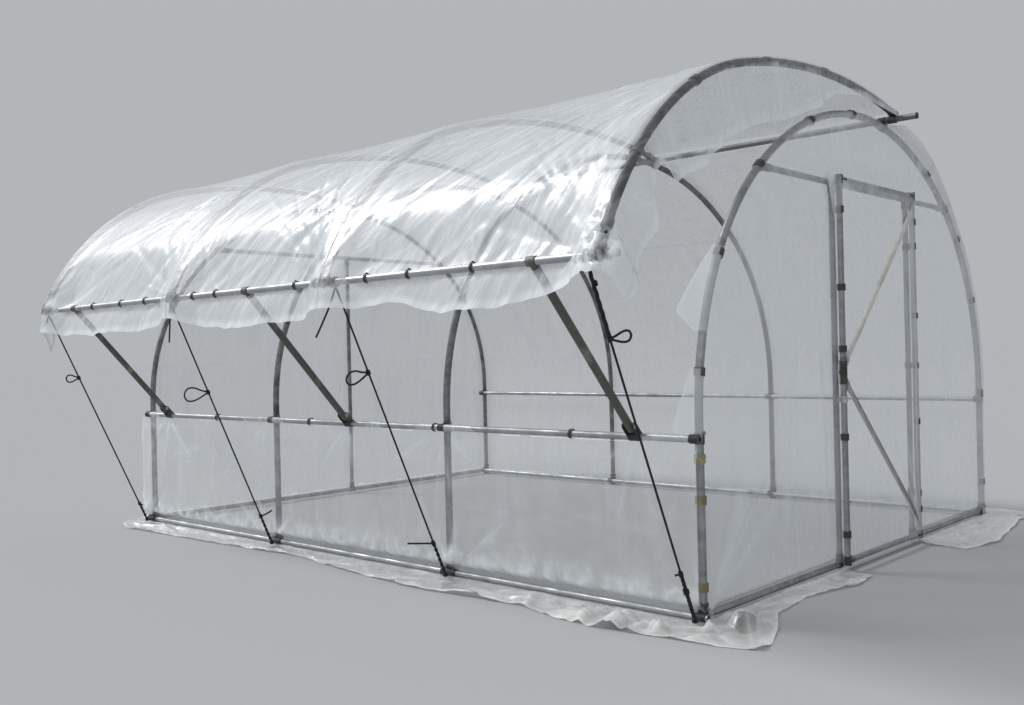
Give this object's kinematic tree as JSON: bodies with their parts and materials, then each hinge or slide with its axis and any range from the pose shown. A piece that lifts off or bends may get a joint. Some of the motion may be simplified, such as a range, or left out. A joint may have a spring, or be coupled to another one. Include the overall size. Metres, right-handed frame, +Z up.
{
  "type": "polytunnel greenhouse",
  "caption": "Film-covered tunnel greenhouse of bent tube with a propped side flap, tensioning ropes, a hinged gable door and skirts of film on the ground.",
  "frame": {"origin": "centre of the bounding box on the ground, under the tunnel and its open flap", "axes": "+X along the tunnel towards the door gable, -Y towards the open side with the flap, +Z up"},
  "size_m": [4.7006, 3.9496, 2.2199],
  "materials": {
    "galvanised_tube": "dull galvanised",
    "dark_tube": "weathered dark grey",
    "dark_clamp": "matt",
    "clear_film": "milky clear, creased",
    "rope": "braided"
  },
  "bodies": {
    "frame": {"hoop_1": "galvanised_tube", "hoop_2": "galvanised_tube", "hoop_3": "galvanised_tube", "hoop_4": "galvanised_tube", "ridge_tube": "galvanised_tube", "ridge_plugs": "dark_clamp", "ridge_clamps": "dark_clamp", "front_rail": "galvanised_tube", "back_rail": "galvanised_tube", "rail_clamps": "dark_clamp", "base_tubes": "galvanised_tube", "base_clamps": "dark_clamp", "gable_base_tubes": "galvanised_tube", "gable_bars": "galvanised_tube", "latch_post": "galvanised_tube", "hinge_post": "galvanised_tube", "far_post": "galvanised_tube", "gable_clamps": "dark_clamp", "back_film": "clear_film", "front_film": "clear_film", "gable_film_left": "clear_film", "gable_film_right": "clear_film", "gable_film_top": "clear_film", "far_gable_film": "clear_film", "ground_skirt": "clear_film", "strut_saddles": "dark_clamp", "ropes": "rope", "door_hinge_brackets": "galvanised_tube"},
    "flap": {"flap_arc_1": "dark_tube", "flap_arc_2": "dark_tube", "flap_arc_3": "dark_tube", "flap_arc_4": "dark_tube", "flap_hinges": "dark_clamp", "eave_tube": "dark_tube", "eave_clamps": "dark_clamp", "flap_film": "clear_film"},
    "strut_1": {"strut_1": "dark_tube"},
    "strut_2": {"strut_2": "dark_tube"},
    "strut_3": {"strut_3": "dark_tube"},
    "door": {"door_frame": "galvanised_tube", "door_braces": "galvanised_tube", "door_connectors": "dark_clamp", "door_film": "clear_film", "door_hinge_leaves": "galvanised_tube", "door_latch": "galvanised_tube"}
  },
  "joints": [
    {"name": "flap_hinge", "type": "hinge", "parent": "frame", "child": "flap", "pos_m": [0, 0.41955, 2.10202], "axis": [1, 0, 0], "range_deg": [0, 14.5], "deforming": ["ropes"]},
    {"name": "strut_fold_1", "type": "hinge", "parent": "flap", "child": "strut_1", "pos_m": [1.735, -1.90286, 1.32143], "axis": [1, 0, 0], "range_deg": [0, 94.25]},
    {"name": "strut_fold_2", "type": "hinge", "parent": "flap", "child": "strut_2", "pos_m": [0, -1.90286, 1.32143], "axis": [1, 0, 0], "range_deg": [0, 94.25]},
    {"name": "strut_fold_3", "type": "hinge", "parent": "flap", "child": "strut_3", "pos_m": [-1.735, -1.90286, 1.32143], "axis": [1, 0, 0], "range_deg": [0, 94.25]},
    {"name": "door_hinge", "type": "hinge", "parent": "frame", "child": "door", "pos_m": [2.0458, 0.67105, 0.9], "axis": [0, 0, 1], "range_deg": [0, 110]}
  ],
  "couplings": [
    {"joint": "strut_fold_1", "follows": "flap_hinge", "ratio": 6.5},
    {"joint": "strut_fold_2", "follows": "flap_hinge", "ratio": 6.5},
    {"joint": "strut_fold_3", "follows": "flap_hinge", "ratio": 6.5}
  ]
}
